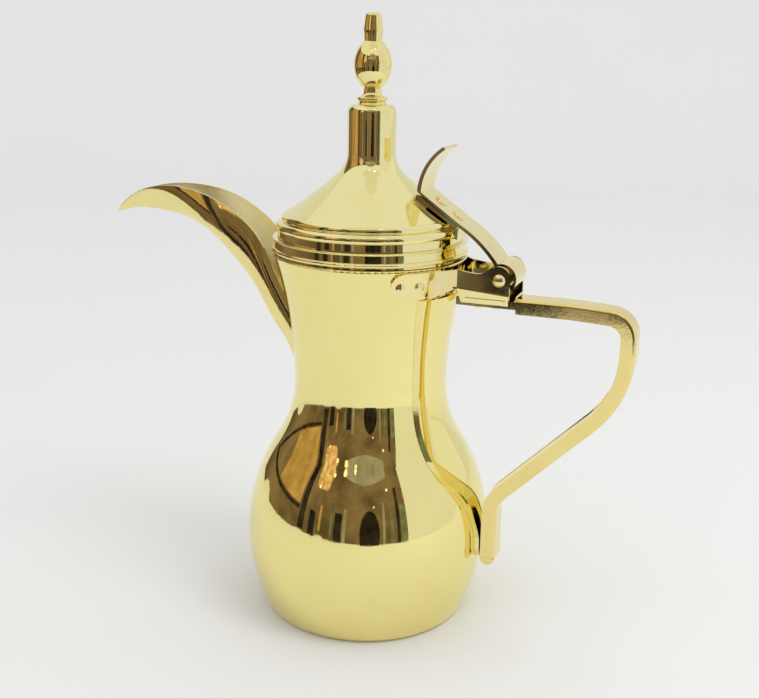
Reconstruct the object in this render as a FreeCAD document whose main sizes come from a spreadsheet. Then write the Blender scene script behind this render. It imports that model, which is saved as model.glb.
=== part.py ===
import FreeCAD, Part
import math
import os
import Sketcher
from FreeCAD import Placement, Rotation, Vector

# A dallah, the long-beaked brass coffee pot: a spun vessel with a bulb and a waisted neck, a crescent
# spout, a channel handle on a shield-shaped back plate, and a hinged conical lid with a thumb lever.
# The origin is the centre of the flat base. +Z is up, +X points to the handle, -X to the spout.

SIZES = {
    # Vessel, spun from sheet
    "wall": 0.9,
    "bulb_radius": 59.4, "bulb_height": 40.0, "bulb_arc": 87.0,
    "waist_radius": 36.0, "waist_arc": 55.0, "neck_arc": 194.0,
    "foot_fillet": 5.0, "foot_hole_radius": 42.0,
    "lip_radius": 46.4, "lip_top": 180.8, "lip_thickness": 1.2,
    "fit_gap": 0.05,
    # Strainer in the neck, behind the spout
    "strainer_radius": 1.5, "strainer_pitch": 4.6, "strainer_low": 144.5,
    # Back plate, a shield along the neck and bulb
    "plate_thickness": 2.4, "plate_top": 165.4, "plate_top_half": 26.0,
    "plate_waist_half": 20.0, "plate_waist_height": 117.0, "plate_shoulder_half": 23.6,
    "plate_shoulder_height": 88.0, "plate_tail_half": 6.75, "plate_tail_top": 45.0,
    "plate_tail_low": 40.0,
    # Handle, a bent channel closed by an inner strip
    "grip_width": 13.5, "grip_depth": 7.0, "grip_sheet": 1.2, "grip_corner": 1.8,
    "arm_height": 162.4, "arm_start": 73.4, "arm_level_end": 92.0, "arm_arc": 300.0,
    "corner_bend": 9.5, "back_line": 125.0, "upper_bend": 50.0, "upper_bend_height": 145.1,
    "tail_line": 65.6, "lower_bend": 14.0, "grip_end": 35.4,
    "strip_setback": 0.35, "strip_play": 0.08,
    "tang_start": 44.9, "tang_end": 84.0, "tang_low": 160.6, "tang_top": 164.2, "tang_half": 5.3,
    # Hinge bracket: two cheeks, a cradle, the pin and its spacers
    "pin_x": 67.0, "pin_height": 175.4, "pin_radius": 2.0, "pin_play": 0.05,
    "pin_head_radius": 2.9, "pin_head_rise": 1.6,
    "cheek_gap_half": 13.0, "cheek_sheet": 1.3, "cheek_end": 71.9,
    "cheek_root_x": 37.6, "cheek_root_y": 25.0, "cheek_bend_x": 47.3,
    "ear_x": 31.2, "ear_height": 172.6, "ear_radius": 6.7,
    "cradle_low": 164.3, "cradle_left": 50.4, "cradle_sheet": 1.15, "cradle_height": 6.4,
    "cradle_lean": 0.8, "cradle_rake": 2.2, "cradle_seam": 2.3,
    "lever_half": 10.0,
    # Thumb lever and its seat on the dome
    "knuckle_radius": 6.9, "lever_sheet": 1.5,
    "tip_x": 38.6, "tip_height": 231.5, "heel_x": 27.4, "heel_height": 212.3,
    "elbow_x": 46.6, "elbow_height": 198.7, "seat_sheet": 1.3,
    "lever_rivet_radius": 1.6, "lever_rivet_head": 3.3,
    # Lid
    "lid_sheet": 0.9, "lid_gap": 0.2, "hem_radius": 46.5, "hem_low": 187.4, "hem_high": 188.4,
    "band_radius": 45.7, "band_sheet": 1.0, "band_foot": 0.8, "band_bead": 1.1, "skirt_radius": 44.1, "skirt_top": 192.4,
    "bead_middle_radius": 41.7, "bead_middle": 196.0, "bead_top_radius": 40.3, "bead_top": 199.4,
    "bead_round": 2.5, "cone_top_radius": 16.3, "cone_top": 217.6, "cone_bow": 190.0,
    "cone_throat": 13.0, "chimney_radius": 11.35, "chimney_low": 227.0, "chimney_top": 249.6,
    "chimney_shoulder": 3.4,
    "plug_radius": 43.2, "plug_depth": 5.0, "plug_sheet": 0.9,
    # Finial
    "stud_radius": 1.5, "flange_radius": 7.1, "flange_top": 253.6, "neck_radius": 4.1,
    "egg_radius": 8.75, "egg_low": 256.6, "egg_middle": 267.2, "egg_top": 277.6,
    "spire_low_radius": 4.5, "spire_waist_radius": 4.2, "spire_low": 282.2,
    "spire_top": 290.0, "spire_top_radius": 3.7,
}

doc = FreeCAD.newDocument("Dallah")
sheet = doc.addObject("Spreadsheet::Sheet", "Sizes")
for row, (alias, number) in enumerate(SIZES.items(), start=1):
    sheet.set(f"A{row}", alias)
    sheet.set(f"B{row}", str(number))
    sheet.setAlias(f"B{row}", alias)
doc.recompute()


class Size:
    """A length that carries its value and the spreadsheet expression that drives it."""

    def __init__(self, value, text):
        self.value = value
        self.text = text

    def __add__(self, other):
        other = as_size(other)
        return Size(self.value + other.value, f"({self.text} + {other.text})")

    def __sub__(self, other):
        other = as_size(other)
        return Size(self.value - other.value, f"({self.text} - {other.text})")

    def __mul__(self, other):
        other = as_size(other)
        return Size(self.value * other.value, f"({self.text} * {other.text})")

    def __truediv__(self, other):
        other = as_size(other)
        return Size(self.value / other.value, f"({self.text} / {other.text})")

    def __radd__(self, other):
        return as_size(other) + self

    def __rsub__(self, other):
        return as_size(other) - self

    def __rmul__(self, other):
        return as_size(other) * self

    def __neg__(self):
        return Size(-self.value, f"(-1 * {self.text})")


def as_size(number):
    return number if isinstance(number, Size) else Size(float(number), repr(float(number)))


def root(size):
    return Size(math.sqrt(size.value), f"sqrt({size.text})")


def cell(alias):
    return Size(float(sheet.get(alias)), f"Sizes.{alias}")


class Path:
    """Points in a sketch plane, joined by straight lines or by arcs."""

    def __init__(self, *points):
        self.points = [(as_size(across), as_size(up)) for across, up in points]
        self.bows = [None] * (len(self.points) - 1)
        self.closing = None

    def line(self, across, up):
        self.points.append((as_size(across), as_size(up)))
        self.bows.append(None)
        return self

    def arc(self, across, up, radius, turn):
        """An arc to the next point: turn is +1 anticlockwise, -1 clockwise."""
        self.points.append((as_size(across), as_size(up)))
        self.bows.append((as_size(radius), turn))
        return self

    def close(self, radius, turn):
        """Closes the outline with an arc in place of a straight line."""
        self.closing = (as_size(radius), turn)
        return self

    def join(self, other):
        self.points += other.points
        self.bows += [None] + other.bows
        return self

    def reverse(self):
        turned = Path(*reversed(self.points))
        turned.bows = [bow and (bow[0], -bow[1]) for bow in reversed(self.bows)]
        return turned

    def mirror(self):
        """The same path on the other side of the vertical axis, drawn the other way round."""
        turned = self.reverse()
        turned.points = [(-across, up) for across, up in turned.points]
        turned.bows = [bow and (bow[0], -bow[1]) for bow in turned.bows]
        return turned


def bind(target, prop, size):
    target.setExpression(prop, as_size(size).text)


def new_body(label):
    body = doc.addObject("PartDesign::Body", label)
    body.Label = label
    return body


def new_sketch(body, name, plane, shift=None):
    sketch = body.newObject("Sketcher::SketchObject", f"{body.Name}_{name}")
    support = [feature for feature in body.Origin.OriginFeatures if feature.Role == plane][0]
    sketch.AttachmentSupport = [(support, "")]
    sketch.MapMode = "FlatFace"
    if shift is not None:
        bind(sketch, "AttachmentOffset.Base.z", shift)
    return sketch


def set_datum(sketch, kind, place, size):
    """A dimension bound to the sheet, or a coincidence with the axis where it is zero."""
    if kind == "Radius":
        index = sketch.addConstraint(Sketcher.Constraint("Radius", place[0], size.value))
    elif abs(size.value) < 1e-9:
        axis = -2 if kind == "DistanceX" else -1
        sketch.addConstraint(Sketcher.Constraint("PointOnObject", place[0], place[1], axis))
        return
    else:
        index = sketch.addConstraint(Sketcher.Constraint(kind, -1, 1, place[0], place[1], size.value))
    name = f"size_{index}"
    sketch.renameConstraint(index, name)
    bind(sketch, f"Constraints.{name}", size)


def draw(sketch, path, closed=True):
    """Draws a path as sketch edges whose corners and radii are bound to the sheet."""
    points = list(path.points)
    bows = list(path.bows)
    if closed:
        points.append(points[0])
        bows.append(path.closing)
    ends = []
    for start, stop, bow in zip(points, points[1:], bows):
        first = Vector(start[0].value, start[1].value, 0)
        last = Vector(stop[0].value, stop[1].value, 0)
        if bow is None:
            index = sketch.addGeometry(Part.LineSegment(first, last), False)
            ends.append((index, 1, 2))
            continue
        radius, turn = bow
        chord = last - first
        rise = math.sqrt(max(radius.value ** 2 - (chord.Length / 2) ** 2, 0.0))
        side = Vector(-chord.y, chord.x, 0).normalize()
        centre = (first + last) * 0.5 + side * (rise * turn)
        begin, end = (first, last) if turn > 0 else (last, first)
        low = math.atan2(begin.y - centre.y, begin.x - centre.x)
        high = math.atan2(end.y - centre.y, end.x - centre.x)
        if high < low:
            high += 2 * math.pi
        circle = Part.Circle(centre, Vector(0, 0, 1), radius.value)
        index = sketch.addGeometry(Part.ArcOfCircle(circle, low, high), False)
        ends.append((index, 1, 2) if turn > 0 else (index, 2, 1))
        set_datum(sketch, "Radius", (index, 0), radius)
    joints = list(zip(ends, ends[1:]))
    if closed:
        joints.append((ends[-1], ends[0]))
    for before, after in joints:
        place = ("Coincident", before[0], before[2], after[0], after[1])
        sketch.addConstraint(Sketcher.Constraint(*place))
    for (index, begin, end), (across, up) in zip(ends, points):
        set_datum(sketch, "DistanceX", (index, begin), across)
        set_datum(sketch, "DistanceY", (index, begin), up)
    if not closed:
        index, begin, end = ends[-1]
        set_datum(sketch, "DistanceX", (index, end), points[-1][0])
        set_datum(sketch, "DistanceY", (index, end), points[-1][1])
    return sketch


def revolved(label, path):
    """A body turned about the vertical axis from its half section."""
    body = new_body(label)
    sketch = draw(new_sketch(body, "section", "XZ_Plane"), path)
    turn = body.newObject("PartDesign::Revolution", f"{label}_turn")
    turn.Profile = sketch
    turn.ReferenceAxis = (sketch, ["V_Axis"])
    turn.Angle = 360.0
    return body


def padded(label, plane, path, length, both_ways=True, shift=None):
    """A body pushed out from one outline, about its plane or away from it."""
    body = new_body(label)
    sketch = draw(new_sketch(body, "outline", plane, shift), path)
    pad = body.newObject("PartDesign::Pad", f"{label}_pad")
    pad.Profile = sketch
    bind(pad, "Length", length)
    pad.SideType = "Symmetric" if both_ways else "One side"
    return body


def piped(label, spine, section, plane, shift):
    """A body swept along a path from a section at its start."""
    body = new_body(label)
    course = draw(new_sketch(body, "course", "XZ_Plane"), spine, closed=False)
    profile = draw(new_sketch(body, "section", plane, shift), section)
    pipe = body.newObject("PartDesign::AdditivePipe", f"{label}_sweep")
    pipe.Profile = profile
    pipe.Spine = (course, [f"Edge{number}" for number in range(1, len(spine.bows) + 1)])
    return body


def ball_radius(head, rise):
    """The radius of the ball whose cap has a given half width and rise."""
    return (head * head + rise * rise) / (2 * rise)


def rod(label, radius, length, position, axis=Vector(0, 0, 1)):
    """A cylinder whose middle lies at a place and which runs along an axis."""
    cylinder = doc.addObject("Part::Cylinder", label)
    bind(cylinder, "Radius", radius)
    bind(cylinder, "Height", length)
    turn = Rotation(Vector(0, 0, 1), axis)
    back = turn.multVec(Vector(0, 0, -1))
    cylinder.Placement = Placement(Vector(0, 0, 0), turn)
    for letter, middle, share in zip("xyz", position, back):
        bind(cylinder, f"Placement.Base.{letter}", middle + as_size(length) * (share / 2))
    return cylinder


def block(label, low, high):
    """A box between two corners."""
    box = doc.addObject("Part::Box", label)
    for side, letter, start, stop in zip(("Length", "Width", "Height"), "xyz", low, high):
        bind(box, side, stop - start)
        bind(box, f"Placement.Base.{letter}", start)
    return box


def cut(label, base, tool):
    part = doc.addObject("Part::Cut", label)
    part.Base = base
    part.Tool = tool
    part.Label = label
    return part


def common(label, first, second):
    part = doc.addObject("Part::Common", label)
    part.Base = first
    part.Tool = second
    part.Label = label
    return part


def fused(label, pieces):
    part = doc.addObject("Part::MultiFuse", label)
    part.Shapes = pieces
    part.Label = label
    return part


def grouped(label, pieces):
    part = doc.addObject("Part::Compound", label)
    part.Links = pieces
    part.Label = label
    return part


def mirrored(label, source):
    """The same piece on the other side of the pot's middle plane."""
    part = doc.addObject("Part::Mirroring", label)
    part.Source = source
    part.Normal = Vector(0, 1, 0)
    part.Label = label
    return part


# The vessel's outline. Three arcs run smoothly into each other: the bulb, the waist and the neck.
# Every skin that lies on the vessel is the same outline set off by its own distance.
bulb_x = cell("bulb_radius") - cell("bulb_arc")
bulb_z = cell("bulb_height")
waist_x = cell("waist_radius") + cell("waist_arc")
waist_z = bulb_z + root((cell("bulb_arc") + cell("waist_arc")) * (cell("bulb_arc") + cell("waist_arc"))
                        - (waist_x - bulb_x) * (waist_x - bulb_x))
neck_x = cell("waist_radius") + cell("neck_arc")


def leg(radius, rise):
    """The other short side of a right triangle."""
    return root(radius * radius - rise * rise)


def flank_x(offset, height):
    """The distance from the axis to the vessel's skin, set off outward, at a height."""
    if height.value <= shoulder(offset)[1].value:
        return bulb_x + leg(cell("bulb_arc") + offset, height - bulb_z)
    if height.value <= waist_z.value:
        return waist_x - leg(cell("waist_arc") - offset, height - waist_z)
    return neck_x - leg(cell("neck_arc") - offset, height - waist_z)


def shoulder(offset):
    """Where the bulb's arc runs into the waist's."""
    share = (cell("bulb_arc") + offset) / (cell("bulb_arc") + cell("waist_arc"))
    return bulb_x + (waist_x - bulb_x) * share, bulb_z + (waist_z - bulb_z) * share


def flank(offset, low, high):
    """The vessel's outline, set off outward, from one height up to another."""
    low = as_size(low)
    offset = as_size(offset)
    path = Path((flank_x(offset, low), low))
    stops = [(shoulder(offset), cell("bulb_arc") + offset, 1),
             ((cell("waist_radius") + offset, waist_z), cell("waist_arc") - offset, -1)]
    for (across, up), radius, turn in stops:
        if low.value < up.value < high.value:
            path.arc(across, up, radius, turn)
    return path.arc(flank_x(offset, high), high, cell("neck_arc") - offset, -1)


def foot_tangent(offset):
    """Where the rounded foot runs into the bulb."""
    reach = cell("bulb_arc") - cell("foot_fillet")
    centre_x = bulb_x + leg(reach, cell("foot_fillet") - bulb_z)
    share = (cell("bulb_arc") + offset) / reach
    return bulb_x + (centre_x - bulb_x) * share, bulb_z + (cell("foot_fillet") - bulb_z) * share, centre_x


def vessel_section():
    wall = cell("wall")
    outer_x, outer_z, foot_x = foot_tangent(as_size(0))
    inner_x, inner_z, foot_x = foot_tangent(-wall)
    lip_low = cell("lip_top") - cell("lip_thickness")
    half_lip = cell("lip_thickness") / 2
    edge_x = cell("lip_radius") - half_lip
    path = Path((cell("foot_hole_radius"), 0), (foot_x, 0))
    path.arc(outer_x, outer_z, cell("foot_fillet"), 1)
    outside = flank(0, outer_z, lip_low)
    path.points += outside.points[1:]
    path.bows += outside.bows
    path.line(edge_x, lip_low)
    path.arc(cell("lip_radius"), lip_low + half_lip, half_lip, 1)
    path.arc(edge_x, cell("lip_top"), half_lip, 1)
    inside = flank(-wall, inner_z, cell("lip_top")).reverse()
    path.join(inside)
    path.arc(foot_x, wall, cell("foot_fillet") - wall, -1)
    return path.line(cell("foot_hole_radius"), wall)


def vessel_form(label, offset, low, high):
    """The vessel as a solid block, to trim what is soldered against it."""
    path = flank(offset, low, high)
    return revolved(label, path.line(0, high).line(0, low))


STRAINER_ROWS = 4


def strainer(body):
    """Rows of holes through the neck where the spout is soldered on."""
    sketch = new_sketch(body, "strainer", "YZ_Plane")
    pitch = cell("strainer_pitch")
    for row in range(STRAINER_ROWS):
        count = 3 if row % 2 == 0 else 4
        up = cell("strainer_low") + pitch * row
        for place in range(count):
            across = pitch * (place - (count - 1) / 2)
            circle = Part.Circle(Vector(across.value, up.value, 0), Vector(0, 0, 1),
                                 cell("strainer_radius").value)
            index = sketch.addGeometry(circle, False)
            set_datum(sketch, "Radius", (index, 0), cell("strainer_radius"))
            set_datum(sketch, "DistanceX", (index, 3), across)
            set_datum(sketch, "DistanceY", (index, 3), up)
    pocket = body.newObject("PartDesign::Pocket", "strainer_holes")
    pocket.Profile = sketch
    bind(pocket, "Length", cell("bulb_radius"))
    return body


# Rivets that fix the cheeks to the neck, two a side, pointing straight out from the axis
EAR_RIVET_ANGLES = (40.0, 52.0)
EAR_RIVET_RADIUS = 1.3


def ear_rivet_rods(label, radius, inner, outer, sides=(-1, 1)):
    """Radial rods at the ears' rivets, between two distances from the axis."""
    rods = []
    for side in sides:
        for number, angle in enumerate(EAR_RIVET_ANGLES):
            turn = math.radians(side * angle)
            axis = Vector(math.cos(turn), math.sin(turn), 0)
            middle = (inner + outer) / 2
            place = (middle * axis.x, middle * axis.y, cell("ear_height"))
            name = f"{label}_{'near' if side < 0 else 'far'}_{number}"
            rods.append(rod(name, radius, outer - inner, place, axis))
    return rods


def make_vessel():
    spun = strainer(revolved("vessel_spun", vessel_section()))
    reach = cell("lip_radius")
    tools = ear_rivet_rods("ear_hole", EAR_RIVET_RADIUS + cell("fit_gap"), reach - 12, reach + 4)
    return cut("body_shell", spun, fused("ear_holes", tools))


def make_base_disc():
    disc = doc.addObject("Part::Cylinder", "base_disc")
    disc.Label = "base_disc"
    bind(disc, "Radius", cell("foot_hole_radius") - cell("fit_gap"))
    bind(disc, "Height", cell("wall") + 0.3)
    return disc


# The spout's stations, from its tip to its root inside the neck: the distance out from the axis,
# the height of the two rims, the height of the keel and half the width across the rims.
SPOUT_STATIONS = [
    (138.6, 191.8, 190.8, 0.4),
    (134.0, 196.2, 192.0, 1.5),
    (126.0, 201.4, 193.6, 3.0),
    (116.0, 205.0, 193.5, 4.6),
    (106.0, 206.4, 192.2, 6.4),
    (96.0, 206.2, 189.4, 8.4),
    (86.0, 204.7, 185.4, 10.2),
    (76.0, 201.6, 178.8, 11.3),
    (66.0, 196.3, 168.4, 11.8),
    (57.5, 189.9, 158.2, 12.2),
    (50.5, 181.0, 146.4, 12.4),
    (44.0, 168.0, 136.6, 12.5),
    (37.5, 156.0, 127.4, 12.6),
    (31.0, 145.0, 118.6, 12.7),
]
SPOUT_SHEET = 0.9

# The belly's height as a share of the section's, and how round the walls above and below it are
BELLY_HEIGHT = 0.38
UPPER_BOW = 2.6
LOWER_BOW_SLIM, LOWER_BOW_FULL = 1.6, 0.78
BELLY_SLIM, BELLY_FULL = 0.50, 1.08
SLIM_HALF, FULL_HALF = 4.0, 11.0


def blend(slim, full, fullness):
    return slim + (full - slim) * fullness


def spout_section(rim, keel, half):
    """An open trough in thin sheet, keeled like a V at the tip and full-bellied at the root."""
    fullness = min(max((half - SLIM_HALF) / (FULL_HALF - SLIM_HALF), 0.0), 1.0)
    gauge = min(SPOUT_SHEET, 0.55 * half)
    belly = half * blend(BELLY_SLIM, BELLY_FULL, fullness)
    turn_height = keel + BELLY_HEIGHT * (rim - keel)
    lower = blend(LOWER_BOW_SLIM, LOWER_BOW_FULL, fullness)

    def bows(half_width, belly_half, floor):
        return (UPPER_BOW * math.hypot(half_width - belly_half, rim - turn_height),
                lower * math.hypot(belly_half, turn_height - floor))

    outer_upper, outer_lower = bows(half, belly, keel)
    inner_half = half - gauge
    inner_belly = belly - 0.9 * gauge
    inner_keel = keel + 1.2 * gauge
    inner_upper, inner_lower = bows(inner_half, inner_belly, inner_keel)
    path = Path((half, rim), (inner_half, rim))
    path.arc(inner_belly, turn_height, inner_upper, -1)
    path.arc(0, inner_keel, inner_lower, -1)
    path.arc(-inner_belly, turn_height, inner_lower, -1)
    path.arc(-inner_half, rim, inner_upper, -1)
    path.line(-half, rim)
    path.arc(-belly, turn_height, outer_upper, 1)
    path.arc(0, keel, outer_lower, 1)
    path.arc(belly, turn_height, outer_lower, 1)
    return path.close(outer_upper, 1)


def make_spout():
    """A trough drawn smoothly through its stations and fitted against the neck."""
    body = new_body("spout_trough")
    sketches = [draw(new_sketch(body, f"station_{number}", "YZ_Plane", as_size(-reach)),
                     spout_section(rim, keel, half))
                for number, (reach, rim, keel, half) in enumerate(SPOUT_STATIONS)]
    loft = body.newObject("PartDesign::AdditiveLoft", "spout_loft")
    loft.Profile = sketches[0]
    loft.Sections = sketches[1:]
    form = vessel_form("spout_seat", cell("fit_gap"), as_size(100), cell("lip_top") + 12)
    return cut("spout", body, form)


def plate_outline():
    """The shield seen from the handle's side: wide at the top, waisted, narrowing to a tail."""
    tail = cell("plate_tail_half")
    half = Path((0, cell("plate_tail_low") - tail))
    half.arc(tail, cell("plate_tail_low"), tail, 1)
    half.line(tail, cell("plate_tail_top"))
    half.arc(cell("plate_shoulder_half") - 5.6, cell("plate_shoulder_height") - 15, 110, -1)
    half.arc(cell("plate_shoulder_half"), cell("plate_shoulder_height"), 17, 1)
    half.arc(cell("plate_waist_half"), cell("plate_waist_height"), 210, -1)
    half.arc(cell("plate_top_half"), cell("plate_top"), 260, -1)
    other = half.mirror()
    half.points += other.points[:-1]
    half.bows += [None] + other.bows[:-1]
    return half.close(tail, 1)


def make_back_plate():
    low = cell("plate_tail_low") - cell("plate_tail_half") - 1
    inside = flank(cell("fit_gap"), low, cell("plate_top"))
    outside = flank(cell("plate_thickness"), low, cell("plate_top"))
    skin = revolved("plate_skin", outside.join(inside.reverse()))
    blank = padded("plate_blank", "YZ_Plane", plate_outline(), cell("bulb_radius"), False,
                   cell("cheek_gap_half"))
    return common("back_plate", skin, blank)


# The handle's course: level arm, tight top corner, straight back, wide bend, straight run down at
# forty-five degrees, bend, and a short tail down the bulb.
SLANT = math.sqrt(0.5)


def handle_course():
    arm_centre = cell("arm_height") - cell("arm_arc")
    corner_x = cell("back_line") - cell("corner_bend")
    reach = cell("arm_arc") - cell("corner_bend")
    corner_z = arm_centre + leg(reach, corner_x - cell("arm_level_end"))
    share = cell("arm_arc") / reach
    arm_end_x = cell("arm_level_end") + (corner_x - cell("arm_level_end")) * share
    arm_end_z = arm_centre + (corner_z - arm_centre) * share
    bend_x = cell("back_line") - cell("upper_bend") * (1 - SLANT)
    bend_z = cell("upper_bend_height") - cell("upper_bend") * SLANT
    low_x = cell("tail_line") + cell("lower_bend") * (1 - SLANT)
    low_z = bend_z - (bend_x - low_x)
    course = Path((cell("arm_start"), cell("arm_height")), (cell("arm_level_end"), cell("arm_height")))
    course.arc(arm_end_x, arm_end_z, cell("arm_arc"), -1)
    course.arc(cell("back_line"), corner_z, cell("corner_bend"), -1)
    course.line(cell("back_line"), cell("upper_bend_height"))
    course.arc(bend_x, bend_z, cell("upper_bend"), -1)
    course.line(low_x, low_z)
    course.arc(cell("tail_line"), low_z - cell("lower_bend") * SLANT, cell("lower_bend"), 1)
    return course.line(cell("tail_line"), cell("grip_end"))


def make_handle_channel():
    half = cell("grip_width") / 2
    top = cell("arm_height") + cell("grip_depth") / 2
    low = cell("arm_height") - cell("grip_depth") / 2
    sheet_gauge = cell("grip_sheet")
    corner = cell("grip_corner")
    section = Path((-half, low), (-half + sheet_gauge, low), (-half + sheet_gauge, top - sheet_gauge),
                   (half - sheet_gauge, top - sheet_gauge), (half - sheet_gauge, low), (half, low),
                   (half, top - corner))
    section.arc(half - corner, top, corner, 1)
    section.line(-half + corner, top)
    section.arc(-half, top - corner, corner, 1)
    return piped("handle_channel", handle_course(), section, "YZ_Plane", cell("arm_start"))


def make_handle_strip():
    half = cell("grip_width") / 2 - cell("grip_sheet") - cell("strip_play")
    low = cell("arm_height") - cell("grip_depth") / 2 + cell("strip_setback")
    top = low + cell("grip_sheet")
    section = Path((-half, low), (half, low), (half, top), (-half, top))
    return piped("handle_strip", handle_course(), section, "YZ_Plane", cell("arm_start"))


def make_handle_end_cap():
    """The round-nosed plug that closes the channel's lower end."""
    nose = cell("grip_depth") / 2
    line = cell("tail_line")
    end = cell("grip_end") - 0.05
    outline = Path((line - nose, end))
    outline.arc(line, end - nose, nose, 1)
    outline.arc(line + nose, end, nose, 1)
    outline.line(line + nose - cell("grip_sheet") - 0.1, end)
    body = padded("handle_end_cap", "XZ_Plane", outline, cell("grip_width"))
    inner = line - nose + cell("strip_setback") + cell("grip_sheet") + 0.1
    outer = line + nose - cell("grip_sheet") - 0.1
    tongue = Path((inner, end - 1), (outer, end - 1), (outer, end + 6), (inner, end + 6))
    sketch = draw(new_sketch(body, "tongue", "XZ_Plane"), tongue)
    pad = body.newObject("PartDesign::Pad", "handle_end_cap_tongue")
    pad.Profile = sketch
    bind(pad, "Length", cell("grip_width") - 2 * cell("grip_sheet") - 0.2)
    pad.SideType = "Symmetric"
    return body


# The tang joins the handle's arm to the cradle with two rivets.
TANG_RIVET_PLACES = (55.0, 63.0)
TANG_RIVET_RADIUS = 1.5


def tang_rivet_rods(label, radius, low, high):
    return [rod(f"{label}_{number}", radius, high - low, (as_size(x), as_size(0), (low + high) / 2))
            for number, x in enumerate(TANG_RIVET_PLACES)]


def make_tang():
    low = (cell("tang_start"), -cell("tang_half"), cell("tang_low"))
    high = (cell("tang_end"), cell("tang_half"), cell("tang_top"))
    holes = tang_rivet_rods("tang_hole", TANG_RIVET_RADIUS + cell("fit_gap"),
                            cell("tang_low") - 2, cell("tang_top") + 2)
    return cut("handle_tang", block("tang_bar", low, high), fused("tang_holes", holes))


def make_tang_rivets():
    """Domed over the cradle's floor and headed under the tang."""
    pieces = []
    floor = cell("cradle_low") + cell("cradle_sheet")
    for number, x in enumerate(TANG_RIVET_PLACES):
        head = 2.6
        path = Path((0, cell("tang_low") - 1.2), (head - 0.6, cell("tang_low") - 1.2))
        path.arc(head, cell("tang_low") - 0.6, 0.6, 1)
        path.line(head, cell("tang_low")).line(TANG_RIVET_RADIUS, cell("tang_low"))
        path.line(TANG_RIVET_RADIUS, floor).line(head, floor)
        path.arc(0, floor + 1.1, ball_radius(head, 1.1), 1)
        body = revolved(f"tang_rivet_{number}", path)
        body.Placement = Placement(Vector(x, 0, 0), Rotation())
        pieces.append(body)
    return grouped("tang_rivets", pieces)


def cheek_plan():
    """The strap from the ear to the clevis wall, seen from above: a bend and a straight wall."""
    run_x = cell("cheek_bend_x") - cell("cheek_root_x")
    wall_middle = cell("cheek_gap_half") + cell("cheek_sheet") / 2
    run_y = cell("cheek_root_y") - wall_middle
    length = root(run_x * run_x + run_y * run_y)
    half = cell("cheek_sheet") / 2
    side_x = run_y / length * half
    side_y = run_x / length * half
    shift = (length - run_x) / run_y * half
    outside = cell("cheek_gap_half") + cell("cheek_sheet")
    return Path((cell("cheek_root_x") - side_x, -cell("cheek_root_y") + side_y),
                (cell("cheek_root_x") + side_x, -cell("cheek_root_y") - side_y),
                (cell("cheek_bend_x") + shift, -outside), (cell("cheek_end"), -outside),
                (cell("cheek_end"), -cell("cheek_gap_half")),
                (cell("cheek_bend_x") - shift, -cell("cheek_gap_half")))


def cheek_side():
    """A cheek seen from the side: a round ear, a strap, and a wall that rises round the pin."""
    radius = cell("ear_radius")
    top = cell("ear_height") + radius
    pin_top = cell("pin_height") + 6.4
    end = cell("cheek_end")
    path = Path((cell("ear_x"), cell("ear_height") - radius))
    path.arc(cell("ear_x") + 8.5, cell("ear_height") - radius + 0.9, 40, 1)
    path.arc(cell("cheek_bend_x"), cell("cradle_low") + 5.6, 30, -1)
    path.line(cell("cheek_bend_x") + 3, cell("cradle_low") + cell("cradle_sheet") + 0.3)
    path.line(end, cell("cradle_low") + cell("cradle_sheet") + 0.3)
    path.line(end, pin_top - 4.9)
    path.arc(end - 4.9, pin_top, 4.9, 1)
    path.arc(cell("pin_x") - 5.6, pin_top - 2.4, 7, 1)
    path.arc(cell("pin_x") - 12, pin_top - 4.0, 9, -1)
    path.line(cell("cheek_bend_x"), top - 0.5)
    path.line(cell("ear_x"), top)
    path.arc(cell("ear_x") - radius, cell("ear_height"), radius, 1)
    return path.close(radius, 1)


def make_cheek():
    """The near cheek: an ear that hugs the neck, a bent strap and the clevis wall in one sheet."""
    low = cell("ear_height") - cell("ear_radius") - 0.1
    top = cell("ear_height") + cell("ear_radius") + 0.1
    inside = flank(cell("fit_gap"), low, top)
    outside = flank(cell("cheek_sheet"), low, top)
    skin = revolved("ear_skin", outside.join(inside.reverse()))
    strap = padded("strap_blank", "XY_Plane", cheek_plan(), cell("lip_top") + 10, False)
    side = padded("cheek_blank", "XZ_Plane", cheek_side(), cell("lip_radius") + 4, False)
    sector_low = (cell("ear_x") - cell("ear_radius") - 1, -cell("lip_radius") - 4, low - 1)
    sector_high = (cell("cheek_root_x") + 2.2, -cell("cheek_root_y") + 2.5, top + 1)
    ear = common("ear", skin, block("ear_sector", sector_low, sector_high))
    whole = fused("cheek_sheet_metal", [ear, strap])
    trimmed = common("cheek_trimmed", whole, side)
    tools = [vessel_form("cheek_seat", cell("fit_gap"), as_size(140), cell("lip_top") + 10),
             rod("pin_hole", cell("pin_radius") + cell("pin_play"), 2 * cell("lip_radius"),
                 (cell("pin_x"), as_size(0), cell("pin_height")), Vector(0, 1, 0))]
    reach = cell("lip_radius")
    tools += ear_rivet_rods("cheek_hole", EAR_RIVET_RADIUS + cell("fit_gap"), reach - 12, reach + 4, (-1,))
    return cut("cheek_near", trimmed, fused("cheek_tools", tools))


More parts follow.
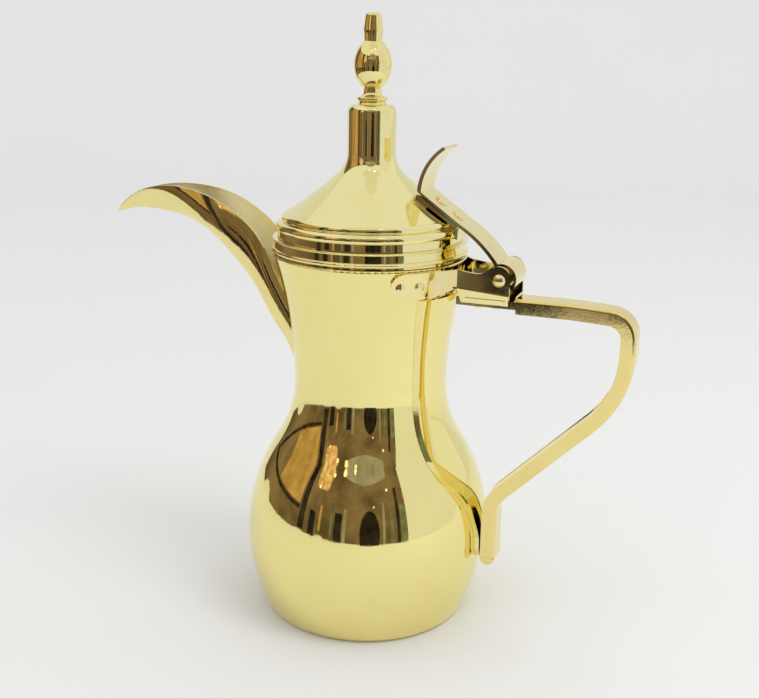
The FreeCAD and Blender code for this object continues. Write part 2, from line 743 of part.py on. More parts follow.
def make_ear_rivets():
    """Low-domed rivets, headed outside the ear and clenched inside the neck."""
    pieces = []
    for side in (-1, 1):
        for number, angle in enumerate(EAR_RIVET_ANGLES):
            inner = flank_x(-cell("wall"), cell("ear_height"))
            outer = flank_x(cell("cheek_sheet"), cell("ear_height"))
            head = EAR_RIVET_RADIUS + 0.9
            path = Path((0, inner - 1.5), (head - 0.5, inner - 1.5))
            path.arc(head, inner - 1.0, 0.5, 1)
            path.line(head, inner - 0.7).line(EAR_RIVET_RADIUS, inner - 0.7)
            path.line(EAR_RIVET_RADIUS, outer + 0.7).line(head, outer + 0.7)
            path.arc(0, outer + 1.05, ball_radius(head, 0.35), 1)
            body = revolved(f"ear_rivet_{'near' if side < 0 else 'far'}_{number}", path)
            turn = math.radians(side * angle)
            axis = Vector(math.cos(turn), math.sin(turn), 0)
            body.Placement = Placement(Vector(0, 0, 0), Rotation(Vector(0, 0, 1), axis))
            bind(body, "Placement.Base.z", cell("ear_height"))
            pieces.append(body)
    return grouped("ear_rivets", pieces)


def make_cradle():
    """A folded channel outside the cheeks, whose sides lean in below and whose floor carries the tang."""
    low = cell("cradle_low")
    gauge = cell("cradle_sheet")
    start = cell("cradle_left") - cell("cradle_rake")
    inside = cell("cheek_gap_half") + cell("cheek_sheet") + 0.05
    top = low + cell("cradle_height")
    section = Path((inside + gauge - 0.2, low), (inside + gauge + cell("cradle_lean"), top), (inside, top),
                   (inside, low + gauge))
    other = section.mirror()
    section.points += other.points
    section.bows += [None] + other.bows
    fold = padded("cradle_fold", "YZ_Plane", section, cell("cheek_end") - start, False, start)
    side = Path((cell("cradle_left"), low - 1), (cell("cheek_end") + 1, low - 1),
                (cell("cheek_end") + 1, low + 4.4), (start, top), (start, top - 0.8))
    trimmed = common("cradle_trimmed", fold, padded("cradle_side", "XZ_Plane", side, 4 * inside))
    tools = tang_rivet_rods("cradle_hole", TANG_RIVET_RADIUS + cell("fit_gap"), low - 2, low + 4)
    seam_low = low + cell("cradle_seam")
    for sign, name in ((-1, "near"), (1, "far")):
        shallow, deep = sign * (inside + gauge - 0.15), sign * (inside + 3 * gauge)
        near_y, far_y = (deep, shallow) if sign < 0 else (shallow, deep)
        tools.append(block(f"cradle_seam_{name}", (cell("cradle_left") + 1.6, near_y, seam_low),
                           (cell("cheek_end") - 1.2, far_y, seam_low + 0.35)))
    return cut("hinge_cradle", trimmed, fused("cradle_tools", tools))


def on_pin(body):
    """Lays a body made about the vertical axis along the hinge pin."""
    body.Placement = Placement(Vector(0, 0, 0), Rotation(Vector(0, 0, 1), Vector(0, 1, 0)))
    bind(body, "Placement.Base.x", cell("pin_x"))
    bind(body, "Placement.Base.z", cell("pin_height"))
    return body


def make_hinge_pin():
    """A pin with a low dome at each end, outside the cheeks."""
    seat = cell("cheek_gap_half") + cell("cheek_sheet") + 0.05
    head = cell("pin_head_radius")
    rise = cell("pin_head_rise")
    ball = ball_radius(head, rise)
    path = Path((0, -seat - rise))
    path.arc(head, -seat, ball, 1)
    path.line(cell("pin_radius"), -seat).line(cell("pin_radius"), seat).line(head, seat)
    path.arc(0, seat + rise, ball, 1)
    return on_pin(revolved("hinge_pin", path))


def make_spacers():
    """Two collars that keep the lever in the middle of the clevis."""
    pieces = []
    for name, side in (("near", -1), ("far", 1)):
        first = side * (cell("lever_half") + 0.15)
        last = side * (cell("cheek_gap_half") - 0.05)
        low, high = (last, first) if side < 0 else (first, last)
        bore = cell("pin_radius") + cell("pin_play")
        path = Path((bore, low), (5.2, low), (5.2, high), (bore, high))
        pieces.append(on_pin(revolved(f"spacer_{name}", path)))
    return grouped("hinge_spacers", pieces)


# The lid's dome lies along one straight fall, which sets the slope of the lever and its seat.
def lever_fall():
    """The unit fall of the lever from its heel to its elbow."""
    run_x = cell("elbow_x") - cell("heel_x")
    run_z = cell("elbow_height") - cell("heel_height")
    length = root(run_x * run_x + run_z * run_z)
    return run_x / length, run_z / length


# The lever's rivets: how far down the lever each sits, how deep it goes and its tail's radius
LEVER_RIVETS = ((8.9, 5.8, 2.4), (19.4, 5.4, 1.7))


def lever_rivet_bodies(label, section):
    """Bodies set square to the lever at its two rivets, their zero on the lever's upper face."""
    fall_x, fall_z = lever_fall()
    bodies = []
    for number, (along, depth, tail) in enumerate(LEVER_RIVETS):
        body = revolved(f"{label}_{number}", section(depth, tail))
        axis = Vector(-fall_z.value, 0, fall_x.value)
        body.Placement = Placement(Vector(0, 0, 0), Rotation(Vector(0, 0, 1), axis))
        bind(body, "Placement.Base.x", cell("heel_x") + fall_x * along)
        bind(body, "Placement.Base.z", cell("heel_height") + fall_z * along)
        bodies.append(body)
    return bodies


def rivet_bore(depth, tail):
    """The hole for a lever rivet's shank."""
    radius = cell("lever_rivet_radius") + cell("fit_gap")
    return Path((0, -depth - 3), (radius, -depth - 3), (radius, 4), (0, 4))


# The radius of the lever's arched fall from its elbow to its knuckle
LEVER_ARCH = 60.0


def make_thumb_lever():
    """One strip: a curled thumb tab, a run down the dome, an arched fall and the hinge knuckle."""
    gauge = cell("lever_sheet")
    fall_x, fall_z = lever_fall()
    heel_x, heel_z = cell("heel_x"), cell("heel_height")
    elbow_x, elbow_z = cell("elbow_x"), cell("elbow_height")
    tip_x, tip_z = cell("tip_x"), cell("tip_height")
    pin_x, pin_z = cell("pin_x"), cell("pin_height")
    radius = cell("knuckle_radius")
    under_x, under_z = fall_z * gauge, -fall_x * gauge
    path = Path((tip_x, tip_z))
    path.arc(tip_x - 1.0, tip_z + 1.2, 1.0, 1)
    path.arc(heel_x - gauge + 0.1, heel_z + 0.4, 27, 1)
    path.arc(heel_x + under_x + 0.6, heel_z + under_z + 0.3, 2.0, 1)
    path.line(elbow_x + under_x, elbow_z + under_z)
    path.arc(pin_x - radius * 0.51, pin_z + radius * root(as_size(1 - 0.51 * 0.51)), LEVER_ARCH - gauge, -1)
    path.arc(pin_x - radius * 0.6, pin_z - radius * 0.8, radius, 1)
    path.arc(pin_x + radius, pin_z, radius, 1)
    path.arc(pin_x + radius * 0.6, pin_z + radius * 0.8, radius, 1)
    path.arc(pin_x - radius * 0.28, pin_z + radius * 0.96, radius, 1)
    path.arc(elbow_x, elbow_z, LEVER_ARCH, 1)
    path.line(heel_x + 0.5 * fall_x, heel_z + 0.5 * fall_z)
    body = padded("lever_strip", "XZ_Plane", path.close(25, -1), 2 * cell("lever_half"))
    tools = lever_rivet_bodies("lever_hole", rivet_bore)
    tools.append(rod("knuckle_bore", cell("pin_radius") + cell("pin_play"), 2 * cell("lip_radius"),
                     (pin_x, as_size(0), pin_z), Vector(0, 1, 0)))
    return cut("thumb_lever", body, fused("lever_tools", tools))


def make_lever_seat():
    """The plate between lever and dome, its upper corners folded down on to the dome."""
    gauge = cell("seat_sheet")
    fall_x, fall_z = lever_fall()
    drop = cell("lever_sheet") + 0.05
    top_x = cell("heel_x") + fall_z * drop + 0.3
    top_z = cell("heel_height") - fall_x * drop - 0.22
    length = 23.0
    end_x, end_z = top_x + fall_x * length, top_z + fall_z * length
    plate = Path((top_x - 1.0, top_z - 0.2), (top_x - 1.0 + fall_z * gauge, top_z - 0.2 - fall_x * gauge),
                 (end_x + fall_z * gauge, end_z - fall_x * gauge), (end_x, end_z), (top_x, top_z))
    body = padded("seat_plate", "XZ_Plane", plate, 2 * cell("lever_half"))
    tab = Path((top_x - 2.6, top_z - 1.4), (top_x + fall_x * 7, top_z + fall_z * 7 - gauge * 0.5),
               (top_x - 0.9, top_z - 8.6))
    for side, name in ((1, "far"), (-1, "near")):
        sketch = draw(new_sketch(body, f"tab_{name}", "XZ_Plane", side * (cell("lever_half") - gauge)), tab)
        pad = body.newObject("PartDesign::Pad", f"seat_tab_{name}")
        pad.Profile = sketch
        bind(pad, "Length", gauge)
        pad.Reversed = side < 0
    foot = Path((end_x - fall_x * 7, end_z - fall_z * 7 - gauge), (end_x - 0.2, end_z - gauge),
                (end_x - 0.6, end_z - 6.5), (end_x - 5.6, end_z - 4.6))
    sketch = draw(new_sketch(body, "foot", "XZ_Plane"), foot)
    pad = body.newObject("PartDesign::Pad", "seat_foot")
    pad.Profile = sketch
    bind(pad, "Length", cell("lever_half") * 1.5)
    pad.SideType = "Symmetric"
    tools = lever_rivet_bodies("seat_hole", rivet_bore)
    tools.append(lid_form("seat_trim", cell("fit_gap")))
    return cut("lever_seat", body, fused("seat_tools", tools))


def lever_rivet_section(depth, tail):
    """A domed head over the lever, a shank through seat and dome, and a tail inside the lid."""
    head = cell("lever_rivet_head")
    rise = 1.8
    shank = cell("lever_rivet_radius")
    path = Path((0, -depth - 0.9), (tail, -depth - 0.9), (tail, -depth), (shank, -depth))
    path.line(shank, 0.05).line(head, 0.05)
    return path.arc(0, rise + 0.05, ball_radius(head, rise), 1)


def make_lever_rivets():
    return grouped("lever_rivets", lever_rivet_bodies("lever_rivet", lever_rivet_section))


def lid_outline(offset):
    """The lid's outer outline, set in by an offset, from the skirt's foot up to the chimney's top."""
    offset = as_size(offset)
    skirt = cell("skirt_radius") + offset
    path = Path((skirt, cell("hem_high") + 0.05), (skirt, cell("skirt_top") - 0.4))
    path.arc(cell("bead_middle_radius") + offset, cell("bead_middle"), cell("bead_round"), 1)
    path.arc(cell("bead_top_radius") + offset, cell("bead_top"), cell("bead_round"), 1)
    path.arc(cell("cone_top_radius") + offset, cell("cone_top"), cell("cone_bow"), -1)
    throat_z = cell("chimney_low")
    path.arc(cell("chimney_radius") + offset, throat_z, cell("cone_throat"), -1)
    return path


def lid_form(label, offset):
    """The lid's outside as a solid block, to trim what sits on it."""
    path = lid_outline(offset)
    return revolved(label, path.line(0, cell("chimney_low")).line(0, cell("hem_high")))


def make_lid_dome():
    """The spun cover: skirt, two beads, cone and chimney in one sheet."""
    sheet_gauge = cell("lid_sheet")
    top = cell("chimney_top")
    shoulder_round = cell("chimney_shoulder")
    outside = lid_outline(0)
    radius = cell("chimney_radius")
    outside.line(radius, top - shoulder_round)
    outside.arc(radius - shoulder_round, top, shoulder_round, 1)
    stud_hole = cell("stud_radius") + cell("fit_gap")
    outside.line(stud_hole, top).line(stud_hole, top - sheet_gauge)
    outside.line(radius - shoulder_round, top - sheet_gauge)
    outside.arc(radius - sheet_gauge, top - shoulder_round, shoulder_round - sheet_gauge, -1)
    inside = lid_outline(-sheet_gauge)
    inside.points = [(across, up - sheet_gauge * 0.7 if 1 < number < 5 else up)
                     for number, (across, up) in enumerate(inside.points)]
    body = revolved("dome_spun", outside.join(inside.reverse()))
    return cut("lid_dome", body, fused("dome_tools", lever_rivet_bodies("dome_hole", rivet_bore)))


def make_lid_rim():
    """The hemmed ledge and the band below it, which stands on the vessel's lip."""
    low = cell("lip_top") + cell("lid_gap")
    band = cell("band_radius")
    gauge = cell("band_sheet")
    half = (cell("hem_high") - cell("hem_low")) / 2
    bead = cell("band_bead")
    foot = low + cell("band_foot")
    path = Path((band - gauge, low), (band, low), (band, foot))
    path.arc(band + bead, foot + bead, bead, 1)
    path.arc(band, foot + 2 * bead, bead, 1)
    path.line(band, cell("hem_low"))
    path.line(cell("hem_radius") - half, cell("hem_low"))
    path.arc(cell("hem_radius"), cell("hem_low") + half, half, 1)
    path.arc(cell("hem_radius") - half, cell("hem_high"), half, 1)
    seat = cell("skirt_radius") - cell("lid_sheet") - 1.2
    path.line(seat, cell("hem_high")).line(seat, cell("hem_low")).line(band - gauge, cell("hem_low"))
    return revolved("lid_rim", path)


def make_lid_plug():
    """The collar under the ledge that drops into the neck and keeps the lid in place."""
    radius = cell("plug_radius")
    gauge = cell("plug_sheet")
    top = cell("hem_low") - 0.05
    low = cell("lip_top") - cell("plug_depth")
    path = Path((radius - gauge, low + 0.6), (radius - gauge * 0.5, low), (radius, low + 0.6), (radius, top),
                (radius - 3.2, top), (radius - 3.2, top - gauge), (radius - gauge, top - gauge))
    return revolved("lid_plug", path)


def make_finial_flange():
    """The stepped disc on the chimney's shoulder."""
    base = cell("chimney_top") + 0.02
    top = cell("flange_top")
    radius = cell("flange_radius")
    bore = cell("stud_radius") + cell("fit_gap")
    path = Path((bore, base), (radius - 0.4, base))
    path.arc(radius - 0.9, base + 1.2, 1.6, -1)
    path.line(radius - 0.5, base + 1.6)
    path.arc(radius, base + 2.3, 0.7, 1)
    path.arc(radius - 0.7, top - 0.7, 0.9, 1)
    path.arc(cell("neck_radius"), top + 1.4, 2.7, -1)
    path.line(bore, top + 1.4)
    return revolved("finial_flange", path)


def make_finial_egg():
    """The egg, on a short neck, with a bead above it."""
    bore = cell("stud_radius") + cell("fit_gap")
    neck = cell("neck_radius")
    low = cell("flange_top") + 1.42
    egg_low, middle, egg_top = cell("egg_low"), cell("egg_middle"), cell("egg_top")
    radius = cell("egg_radius")
    low_arc = ((middle - egg_low) * (middle - egg_low) + (radius - neck) * (radius - neck)) / (2 * (radius - neck))
    top_arc = ((egg_top - middle) * (egg_top - middle) + (radius - neck) * (radius - neck)) / (2 * (radius - neck))
    path = Path((bore, low), (neck, low), (neck, egg_low))
    path.arc(radius, middle, low_arc, 1)
    path.arc(neck, egg_top, top_arc, 1)
    path.line(neck, egg_top + 0.8).line(bore, egg_top + 0.8)
    return revolved("finial_egg", path)


def make_finial_spire():
    """The small waisted spire at the very top, closed over the stud."""
    bore = cell("stud_radius") + cell("fit_gap")
    low = cell("egg_top") + 0.82
    top = cell("spire_top")
    tip = cell("spire_top_radius")
    path = Path((bore, low), (cell("spire_waist_radius"), low))
    path.arc(cell("spire_low_radius"), cell("spire_low"), 16, -1)
    path.line(tip, top - 1.6)
    path.arc(tip - 1.5, top, 1.7, 1)
    path.line(0, top).line(0, top - 3.5).line(bore, top - 3.5)
    return revolved("finial_spire", path)


def make_finial_stud():
    stud = rod("finial_stud", cell("stud_radius"), cell("spire_top") - 3.6 - (cell("chimney_top") - 8),
               (as_size(0), as_size(0), (cell("spire_top") - 3.6 + cell("chimney_top") - 8) / 2))
    stud.Label = "finial_stud"
    return stud


def make_finial_washer():
    top = cell("chimney_top") - cell("lid_sheet") - 0.02
    bore = cell("stud_radius") + cell("fit_gap")
    path = Path((bore, top - 0.9), (6.0, top - 0.9), (6.0, top), (bore, top))
    return revolved("finial_washer", path)


def make_finial_nut():
    """A hexagon nut on the stud, inside the chimney."""
    top = cell("chimney_top") - cell("lid_sheet") - 0.94
    across = 4.6
    corners = [(across * math.cos(math.radians(60 * number)), across * math.sin(math.radians(60 * number)))
               for number in range(6)]
    body = padded("nut_blank", "XY_Plane", Path(*corners), 3.2, False, top - 3.2)
    bore = rod("nut_bore", cell("stud_radius") + cell("fit_gap"), 12, (as_size(0), as_size(0), top))
    return cut("finial_nut", body, bore)


def handle_nodes():
    return [make_handle_channel(), make_handle_strip(), make_handle_end_cap(), make_tang(),
            make_tang_rivets(), make_back_plate()]


def hinge_nodes():
    near = make_cheek()
    return [near, mirrored("cheek_far", near), make_ear_rivets(), make_cradle(), make_hinge_pin(),
            make_spacers()]


def lid_nodes():
    return [make_lid_dome(), make_lid_rim(), make_lid_plug(), make_lever_seat(), make_thumb_lever(),
            make_lever_rivets(), make_finial_flange(), make_finial_egg(), make_finial_spire(),
            make_finial_stud(), make_finial_washer(), make_finial_nut()]


nodes = [make_vessel(), make_base_disc(), make_spout()] + handle_nodes() + hinge_nodes() + lid_nodes()
doc.recompute()

broken = [item.Name for item in doc.Objects if "Invalid" in item.State or "Error" in item.State]
for node in nodes:
    if node.Shape.isNull() or not node.Shape.isValid() or not node.Shape.Solids:
        broken.append(node.Label)
if broken:
    raise SystemExit(f"These objects failed: {broken}")

os.makedirs("parts", exist_ok=True)
for node in nodes:
    node.Shape.exportStep(f"parts/{node.Label}.step")
    print(f"{node.Label:18s} {node.Shape.Volume:10.1f} mm3 in {len(node.Shape.Solids)} solid(s)")
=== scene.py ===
import math

import bpy
from mathutils import Matrix, Vector

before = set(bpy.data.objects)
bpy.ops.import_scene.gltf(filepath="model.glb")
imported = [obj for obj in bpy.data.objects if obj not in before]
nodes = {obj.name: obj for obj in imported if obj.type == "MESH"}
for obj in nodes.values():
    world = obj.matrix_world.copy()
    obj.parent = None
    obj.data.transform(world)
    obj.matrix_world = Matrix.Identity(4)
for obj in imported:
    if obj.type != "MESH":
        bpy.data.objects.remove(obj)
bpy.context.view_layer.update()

# ---------------------------------------------------------------- node helpers


class Shader:
    """One node material, built up from a few kinds of procedural layer."""

    def __init__(self, name):
        self.material = bpy.data.materials.new(name)
        self.material.use_nodes = True
        self.tree = self.material.node_tree
        self.tree.nodes.clear()
        self.surface = self.add("ShaderNodeBsdfPrincipled")
        self.output = self.add("ShaderNodeOutputMaterial")
        self.link(self.surface.outputs["BSDF"], self.output.inputs["Surface"])
        self.place = self.add("ShaderNodeTexCoord").outputs["Object"]

    def add(self, kind, **settings):
        """A new node with its settings."""
        node = self.tree.nodes.new(kind)
        for name, value in settings.items():
            setattr(node, name, value)
        return node

    def link(self, start, end):
        self.tree.links.new(start, end)

    def mapped(self, scale, turn=(0, 0, 0)):
        """Object coordinates, stretched or turned."""
        node = self.add("ShaderNodeMapping")
        node.inputs["Scale"].default_value = scale
        node.inputs["Rotation"].default_value = turn
        self.link(self.place, node.inputs["Vector"])
        return node.outputs["Vector"]

    def noise(self, scale, detail=3.0, rough=0.55, place=None, distortion=0.0):
        """Cloudy values near 0.5, in object coordinates unless place is given."""
        node = self.add("ShaderNodeTexNoise")
        node.inputs["Scale"].default_value = scale
        node.inputs["Detail"].default_value = detail
        node.inputs["Roughness"].default_value = rough
        node.inputs["Distortion"].default_value = distortion
        self.link(place or self.place, node.inputs["Vector"])
        return node.outputs["Fac"]

    def spread(self, factor, low, high, to_low=0.0, to_high=1.0):
        """A value re-ranged from one span to another, held at its ends."""
        node = self.add("ShaderNodeMapRange")
        node.inputs["From Min"].default_value = low
        node.inputs["From Max"].default_value = high
        node.inputs["To Min"].default_value = to_low
        node.inputs["To Max"].default_value = to_high
        self.link(factor, node.inputs["Value"])
        return node.outputs["Result"]

    def sum(self, first, second, how="ADD"):
        """Two values or numbers added, or combined by another operation."""
        node = self.add("ShaderNodeMath", operation=how)
        for value, socket in ((first, node.inputs[0]), (second, node.inputs[1])):
            if isinstance(value, (int, float)):
                socket.default_value = value
            else:
                self.link(value, socket)
        return node.outputs[0]

    def mix(self, factor, first, second):
        """Two colours mixed by a value."""
        node = self.add("ShaderNodeMix", data_type="RGBA")
        self.link(factor, node.inputs["Factor"])
        for value, socket in ((first, node.inputs[6]), (second, node.inputs[7])):
            if isinstance(value, tuple):
                socket.default_value = (*value, 1.0)
            else:
                self.link(value, socket)
        return node.outputs[2]

    def hollow_side(self):
        """1 where a wall faces the plane y = 0 (the inside of a trough), 0 where it faces away."""
        facing = self.add("ShaderNodeSeparateXYZ")
        self.link(self.add("ShaderNodeTexCoord").outputs["Normal"], facing.inputs[0])
        across = self.add("ShaderNodeSeparateXYZ")
        self.link(self.place, across.inputs[0])
        product = self.sum(facing.outputs["Y"], across.outputs["Y"], "MULTIPLY")
        return self.spread(product, -0.0010, -0.0002, 1.0, 0.0)

    def bump(self, height, strength, distance, before=None):
        """A surface normal tilted by a height, on top of an earlier bump."""
        node = self.add("ShaderNodeBump")
        node.inputs["Strength"].default_value = strength
        node.inputs["Distance"].default_value = distance
        self.link(height, node.inputs["Height"])
        if before is not None:
            self.link(before, node.inputs["Normal"])
        return node.outputs["Normal"]


def polished(name, tone, deep, rough=0.05, grain=(1, 1, 1), grain_scale=900.0, grain_depth=0.000006,
             waviness=0.00016, wave_scale=26.0, tarnish=0.35, inside=None):
    """Buffed brass: a clear mirror with slow waves, fine buffing lines, faint smears and warmer dull spots.

    With inside, a tone, the hollow side of a trough takes that tone, a painted light that makes it paler as
    though lit from above, and a satin finish."""
    made = Shader(name)
    made.surface.inputs["Metallic"].default_value = 1.0
    cloud = made.noise(34.0, 5.0, 0.6)
    dull = made.spread(cloud, 0.46, 0.78, 0.0, tarnish)
    specks = made.spread(made.noise(420.0, 2.0, 0.5), 0.70, 0.82, 0.0, 0.30)
    colour = made.mix(made.sum(dull, specks), tone, deep)
    lines = made.noise(grain_scale, 2.0, 0.6, made.mapped(grain))
    smear = made.spread(made.noise(70.0, 4.0, 0.6, distortion=0.8), 0.48, 0.80, 0.0, 0.07)
    gloss = made.sum(made.spread(lines, 0.3, 0.7, rough * 0.7, rough * 1.35), smear)
    # The hollow side's paler tone is painted light; the roughness added there is the real satin finish
    if inside:
        hollow = made.hollow_side()
        colour = made.mix(hollow, colour, inside)
        gloss = made.sum(gloss, made.sum(hollow, 0.28, "MULTIPLY"))
    made.link(colour, made.surface.inputs["Base Color"])
    made.link(gloss, made.surface.inputs["Roughness"])
    wave = made.bump(made.noise(wave_scale, 1.0, 0.4), 1.0, waviness)
    made.link(made.bump(lines, 1.0, grain_depth, wave), made.surface.inputs["Normal"])
    return made.material


# Base colours of the metal: pale brass for the body and lid, warmer brass for the handle
PALE = (0.915, 0.815, 0.345)
PALE_DEEP = (0.870, 0.710, 0.250)
GOLD = (0.895, 0.750, 0.310)
GOLD_DEEP = (0.790, 0.580, 0.180)

LID_TONE = (0.905, 0.820, 0.400)
FINIAL_TONE = (0.910, 0.800, 0.360)
SPOUT_TONE = (0.905, 0.790, 0.345)
# Painted light: a paler tone for the spout's inside, standing in for light from above; only its satin
# roughness is the real finish
SPOUT_INSIDE_PAINTED_LIGHT = (0.970, 0.910, 0.690)
FITTING_TONE = (0.905, 0.800, 0.390)
RIVET_TONE = (0.880, 0.760, 0.400)
STEEL = (0.62, 0.60, 0.56)
STEEL_DEEP = (0.40, 0.37, 0.33)

RINGS = (0.15, 0.15, 1.0)     # buffing lines round the pot's axis
ALONG_SPOUT = (0.2, 1.0, 1.0)
ALONG_HANDLE = (1.0, 0.12, 1.0)
EVEN = (1, 1, 1)

materials = {
    "polished_brass": polished("brass_vessel", PALE, PALE_DEEP, 0.035, RINGS, waviness=0.00012),
    "lid_brass": polished("brass_lid", LID_TONE, PALE_DEEP, 0.045, RINGS, waviness=0.00006),
    "finial_brass": polished("brass_finial", FINIAL_TONE, GOLD_DEEP, 0.04, RINGS, waviness=0.00003),
    "spout_brass": polished("brass_spout", SPOUT_TONE, GOLD_DEEP, 0.05, ALONG_SPOUT,
                            waviness=0.00010, inside=SPOUT_INSIDE_PAINTED_LIGHT),
    "handle_brass": polished("brass_handle", GOLD, GOLD_DEEP, 0.07, ALONG_HANDLE, waviness=0.00008),
    "fitting_brass": polished("brass_fittings", FITTING_TONE, GOLD_DEEP, 0.07, EVEN,
                              grain_depth=0.000004, waviness=0.00004, wave_scale=40.0),
    "rivet_brass": polished("brass_rivets", RIVET_TONE, GOLD_DEEP, 0.10, EVEN, waviness=0.00003),
    "steel": polished("steel_fastener", STEEL, STEEL_DEEP, 0.28, RINGS, tarnish=0.5),
}

finishes = {
    "polished_brass": ("body_shell", "base_disc", "back_plate"),
    "spout_brass": ("spout",),
    "handle_brass": ("handle_channel", "handle_strip", "handle_end_cap", "handle_tang"),
    "fitting_brass": ("cheek_near", "cheek_far", "hinge_cradle", "hinge_spacers", "thumb_lever",
                      "lever_seat"),
    "rivet_brass": ("tang_rivets", "ear_rivets", "lever_rivets", "hinge_pin"),
    "lid_brass": ("lid_dome", "lid_rim", "lid_plug"),
    "finial_brass": ("finial_flange", "finial_egg", "finial_spire"),
    "steel": ("finial_stud", "finial_washer", "finial_nut"),
}
for finish, names in finishes.items():
    for name in names:
        for place in nodes[name].material_slots:
            place.link = "OBJECT"
            place.material = materials[finish]

# ---------------------------------------------------------------- stage


def sheet_mesh(name, points, faces):
    """A smooth-shaded mesh that belongs to the stage, not to the object."""
    mesh = bpy.data.meshes.new(name)
    mesh.from_pydata(points, [], faces)
    mesh.polygons.foreach_set("use_smooth", [True] * len(faces))
    mesh.update()
    made = bpy.data.objects.new(name, mesh)
    bpy.context.scene.collection.objects.link(made)
    return made


# The camera looks along VIEW from CAMERA_PLACE, rolled a little; AHEAD and ASIDE are its level directions
VIEW = Vector((-0.3288, 0.9034, -0.2751)).normalized()
CAMERA_PLACE = (0.1819, -0.4843, 0.2805)
ROLL_DEGREES = 1.01
LENS = 52.17
AHEAD = Vector((VIEW.x, VIEW.y, 0)).normalized()
ASIDE = Vector((AHEAD.y, -AHEAD.x, 0))


def make_backdrop():
    """A pale sheet: the floor, a wide sweep and a tall back, square to the view."""
    half, near, far, sweep, top = 3.0, -2.2, 1.5, 0.7, 2.6
    profile = [(near, 0.0), (0.0, 0.0), (far, 0.0)]
    for step in range(1, 13):
        angle = math.radians(90 * step / 12)
        profile.append((far + sweep * math.sin(angle), sweep * (1 - math.cos(angle))))
    profile.append((far + sweep, top))
    points, faces = [], []
    for ahead, up in profile:
        for side in (-half, half):
            points.append(AHEAD * ahead + ASIDE * side + Vector((0, 0, up)))
    for row in range(len(profile) - 1):
        faces.append((2 * row, 2 * row + 1, 2 * row + 3, 2 * row + 2))
    return sheet_mesh("backdrop", points, faces)


def make_cloth():
    """The floor's matt pale cloth, with a faint slanting ripple."""
    made = Shader("backdrop_cloth")
    tone = made.mix(made.noise(3.0, 4.0), (0.865, 0.870, 0.868), (0.900, 0.903, 0.898))
    made.link(tone, made.surface.inputs["Base Color"])
    made.surface.inputs["Roughness"].default_value = 0.85
    ripple = made.noise(30.0, 2.0, 0.5, made.mapped((1.0, 0.25, 1.0), (0, 0, math.radians(35))))
    made.link(made.bump(ripple, 0.25, 0.004), made.surface.inputs["Normal"])
    return made.material


backdrop = make_backdrop()
backdrop.data.materials.append(make_cloth())


def glow(name, dark, light, scale, strength=1.0):
    """A softly varied glowing surface, for what the metal mirrors."""
    made = Shader(name)
    made.tree.nodes.remove(made.surface)
    shine = made.add("ShaderNodeEmission")
    shine.inputs["Strength"].default_value = strength
    made.link(made.mix(made.spread(made.noise(scale, 3.0), 0.35, 0.65), dark, light), shine.inputs["Color"])
    made.link(shine.outputs["Emission"], made.output.inputs["Surface"])
    return made.material


def mirrored_only(card):
    """A card that shows in the metal alone, neither lighting the floor nor shading it."""
    card.visible_camera = False
    card.visible_diffuse = False
    card.visible_shadow = False
    card.visible_transmission = False
    return card


def curved_card(name, reach, turn, rise, material, steps=24):
    """A card on a circle about the pot, from one bearing to another and from one height to another."""
    points, faces = [], []
    for step in range(steps + 1):
        bearing = math.radians(turn[0] + (turn[1] - turn[0]) * step / steps)
        across = Vector((math.cos(bearing), math.sin(bearing), 0)) * reach
        points += [across + Vector((0, 0, rise[0])), across + Vector((0, 0, rise[1]))]
    for step in range(steps):
        faces.append((2 * step, 2 * step + 2, 2 * step + 3, 2 * step + 1))
    card = mirrored_only(sheet_mesh(name, points, faces))
    card.data.materials.append(material)
    return card


def round_card(name, bearing, rise, reach, width, height, material, steps=28):
    """An oval card that faces the pot, on a bearing and at an angle above the bulb's shoulder."""
    turn, lift = math.radians(bearing), math.radians(rise)
    outward = Vector((math.cos(turn) * math.cos(lift), math.sin(turn) * math.cos(lift), math.sin(lift)))
    sideways = Vector((-math.sin(turn), math.cos(turn), 0))
    upwards = outward.cross(sideways)
    centre = outward * reach + Vector((0, 0, 0.09))
    points = [centre]
    for step in range(steps):
        angle = math.tau * step / steps
        points.append(centre + sideways * (width * math.cos(angle)) + upwards * (height * math.sin(angle)))
    faces = [(0, step + 1, (step + 1) % steps + 1) for step in range(steps)]
    card = mirrored_only(sheet_mesh(name, points, faces))
    card.data.materials.append(material)
    return card


# The room beyond the near edge of the sheet, as the metal mirrors it: dark and warm, with posts, folds and
# lamps. ROOM is its distance from the pot's axis, and bearings are in degrees from +X.
ROOM = 0.64
brown = glow("room_brown", (0.11, 0.075, 0.045), (0.25, 0.175, 0.11), 4.0)
amber = glow("room_amber", (0.42, 0.25, 0.09), (0.58, 0.37, 0.17), 9.0)
dark = glow("room_dark", (0.010, 0.008, 0.008), (0.045, 0.035, 0.030), 8.0)
plaster = glow("room_plaster", (0.26, 0.24, 0.22), (0.42, 0.39, 0.35), 7.0)
lamp = glow("room_lamp", (1.5, 1.2, 0.8), (2.2, 1.9, 1.5), 5.0)
glaze = glow("room_glaze", (0.55, 0.30, 0.14), (1.00, 0.70, 0.42), 26.0)

cream = glow("room_cream", (0.78, 0.75, 0.66), (0.80, 0.77, 0.68), 3.0)
board = glow("room_board", (0.80, 0.80, 0.84), (0.83, 0.83, 0.87), 2.0)
fold = glow("sheet_fold", (0.70, 0.70, 0.68), (0.80, 0.80, 0.78), 12.0)
moss = glow("room_moss", (0.10, 0.13, 0.09), (0.24, 0.28, 0.20), 12.0)

curved_card("room_wall", ROOM, (-31, -206), (0.0, 0.66), brown)
curved_card("room_panel", ROOM - 0.01, (-137, -172), (0.16, 0.66), amber)
curved_card("room_corner", ROOM - 0.015, (-129, -135), (0.02, 0.66), dark)
curved_card("room_skirting", ROOM - 0.015, (-136, -206), (0.125, 0.150), dark)
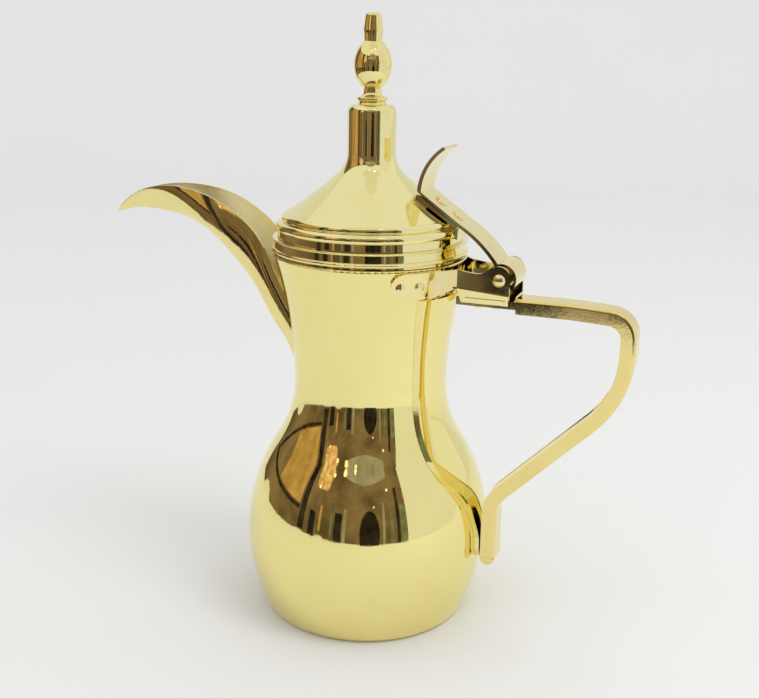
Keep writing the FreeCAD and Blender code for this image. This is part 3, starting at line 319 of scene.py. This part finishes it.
# Posts: first bearing, last bearing, foot, head, material
POSTS = ((-32, -37, 0.0, 0.26, moss), (-38, -41, 0.0, 0.40, dark), (-44, -47, 0.0, 0.22, moss),
         (-52, -54, 0.0, 0.30, plaster), (-88, -91, 0.0, 0.24, plaster), (-92, -99, 0.0, 0.20, dark),
         (-101, -103, 0.0, 0.28, moss), (-112, -114, 0.05, 0.22, amber), (-118, -124, 0.0, 0.16, dark))
for number, (first, last, low, high, look) in enumerate(POSTS):
    curved_card(f"room_post_{number}", ROOM - 0.02, (first, last), (low, high), look, 4)
# Folds of the sheet at its near edge: bearing, half width, height
FOLDS = ((-113, 0.060, 0.022), (-134, 0.075, 0.012), (-186, 0.10, 0.05), (-60, 0.05, 0.008))
for number, (bearing, width, height) in enumerate(FOLDS):
    foot = Vector((math.cos(math.radians(bearing)), math.sin(math.radians(bearing)), 0)) * (ROOM - 0.03)
    sideways = Vector((-foot.y, foot.x, 0)).normalized()
    points = [foot + sideways * (width * across) + Vector((0, 0, height * up))
              for across, up in ((-1, 0), (1, 0), (0.55, 0.8), (0, 1), (-0.55, 0.7))]
    heap = mirrored_only(sheet_mesh(f"sheet_fold_{number}", points, [(0, 1, 2, 3, 4)]))
    heap.data.materials.append(fold)
curved_card("room_board", ROOM - 0.04, (-30, 22), (0.0, 0.90), board)
round_card("room_column", -66, -2, ROOM - 0.05, 0.095, 0.165, dark)
round_card("room_ceiling", -72, 37, 0.74, 0.27, 0.17, plaster)
round_card("room_glaze", -117, 30, 0.68, 0.085, 0.16, glaze)
round_card("room_canopy", -70, 74, 0.95, 0.32, 0.32, cream)
# Small lamps: bearing, elevation, radius
LAMPS = ((-108, 33, 0.014), (-96, 36, 0.018), (-84, 38, 0.012), (-120, 22, 0.010),
         (-48, 26, 0.010), (-62, 16, 0.008), (-80, 62, 0.020), (-50, 66, 0.030))
for bearing, rise, radius in LAMPS:
    round_card(f"room_lamp_{-bearing}", bearing, rise, ROOM - 0.02, radius, radius, lamp)

# ---------------------------------------------------------------- light

world = bpy.data.worlds.new("studio")
bpy.context.scene.world = world
world.use_nodes = True
world.node_tree.nodes["Background"].inputs["Color"].default_value = (1.0, 1.0, 0.995, 1.0)
world.node_tree.nodes["Background"].inputs["Strength"].default_value = 0.86


def soft_light(name, place, aim, size, power):
    """A round area light that the metal doesn't mirror."""
    data = bpy.data.lights.new(name, "AREA")
    data.shape = "DISK"
    data.size = size
    data.energy = power
    made = bpy.data.objects.new(name, data)
    made.location = place
    made.rotation_mode = "QUATERNION"
    made.rotation_quaternion = (Vector(aim) - Vector(place)).to_track_quat("-Z", "Y")
    made.visible_glossy = False
    bpy.context.scene.collection.objects.link(made)
    return made


soft_light("key_soft", (0.9, -0.3, 1.3), (0, 0, 0.1), 0.7, 5.0)

# ---------------------------------------------------------------- camera

camera_data = bpy.data.cameras.new("camera")
camera = bpy.data.objects.new("camera", camera_data)
bpy.context.scene.collection.objects.link(camera)
bpy.context.scene.camera = camera
camera_data.sensor_fit = "HORIZONTAL"
camera_data.sensor_width = 36.0
camera_data.lens = LENS
camera_data.clip_start = 0.01
camera_data.clip_end = 20.0
right = VIEW.cross(Vector((0, 0, 1))).normalized()
upward = right.cross(VIEW)
level = Matrix((right, upward, -VIEW)).transposed().to_4x4()
turn = level @ Matrix.Rotation(math.radians(ROLL_DEGREES), 4, "Z")
camera.matrix_world = Matrix.Translation(CAMERA_PLACE) @ turn

bpy.context.scene.view_settings.view_transform = "Standard"
bpy.context.scene.view_settings.look = "None"
